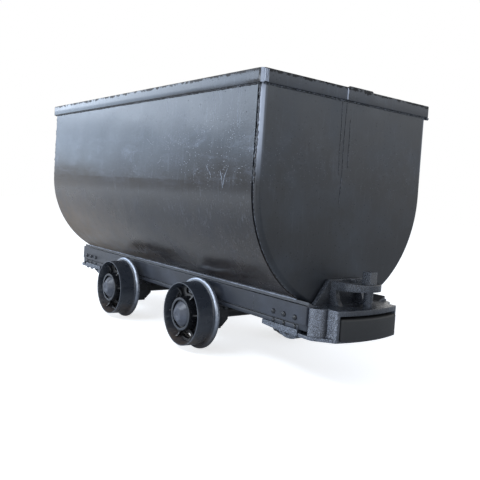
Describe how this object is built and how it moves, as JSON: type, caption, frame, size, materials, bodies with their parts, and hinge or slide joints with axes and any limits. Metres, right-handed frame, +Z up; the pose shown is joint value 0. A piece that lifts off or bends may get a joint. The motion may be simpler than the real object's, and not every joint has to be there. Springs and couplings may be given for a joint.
{
  "type": "fixed-body mine car",
  "caption": "Fixed-body ore cart with a U-shaped plate tub, ribbed flanged wheels, cast buffers with rubber pads and pin couplings.",
  "frame": {"origin": "middle of the car on the floor under the wheel flanges", "axes": "+X along the track towards the spliced rim end, +Y across the car, +Z up"},
  "size_m": [2.4, 1.0486, 1.226],
  "materials": {
    "tub_plate": "black semi-gloss paint on rolled plate, smudged and dusty",
    "rim_bar": "black semi-gloss paint on flat bar, chipped along the top edge",
    "sill_steel": "black semi-gloss paint on rolled section",
    "buffer_casting": "black gloss paint over rough cast steel",
    "seat_casting": "black paint over cast steel",
    "wheel_casting": "black semi-gloss paint over cast steel",
    "hub_cap": "black satin paint",
    "axle_steel": "black paint, greasy",
    "pin_steel": "black paint over forged steel",
    "rubber_pad": "matte moulded rubber"
  },
  "bodies": {
    "car": {"tub_sheet": "tub_plate", "tub_end_front": "tub_plate", "tub_end_rear": "tub_plate", "rim_band": "rim_bar", "sill_left": "sill_steel", "sill_right": "sill_steel", "cross_member_middle": "sill_steel", "cross_member_front": "sill_steel", "cross_member_rear": "sill_steel", "axle_seat_front_left": "seat_casting", "axle_keeper_front_left": "seat_casting", "axle_seat_front_right": "seat_casting", "axle_keeper_front_right": "seat_casting", "buffer_front": "buffer_casting", "buffer_pad_front": "rubber_pad", "coupler_bracket_front": "buffer_casting", "coupling_pin_front": "pin_steel", "axle_seat_rear_left": "seat_casting", "axle_keeper_rear_left": "seat_casting", "axle_seat_rear_right": "seat_casting", "axle_keeper_rear_right": "seat_casting", "buffer_rear": "buffer_casting", "buffer_pad_rear": "rubber_pad", "coupler_bracket_rear": "buffer_casting", "coupling_pin_rear": "pin_steel"},
    "wheelset_front": {"axle_front": "axle_steel", "wheel_front_left": "wheel_casting", "wheel_front_right": "wheel_casting", "hub_cap_front_left": "hub_cap", "hub_cap_front_right": "hub_cap"},
    "wheelset_rear": {"axle_rear": "axle_steel", "wheel_rear_left": "wheel_casting", "wheel_rear_right": "wheel_casting", "hub_cap_rear_left": "hub_cap", "hub_cap_rear_right": "hub_cap"}
  },
  "joints": [
    {"name": "wheelset_front_spin", "type": "hinge", "parent": "car", "child": "wheelset_front", "pos_m": [0.375, 0, 0.17], "axis": [0, 1, 0], "continuous": true},
    {"name": "wheelset_rear_spin", "type": "hinge", "parent": "car", "child": "wheelset_rear", "pos_m": [-0.375, 0, 0.17], "axis": [0, 1, 0], "continuous": true}
  ]
}
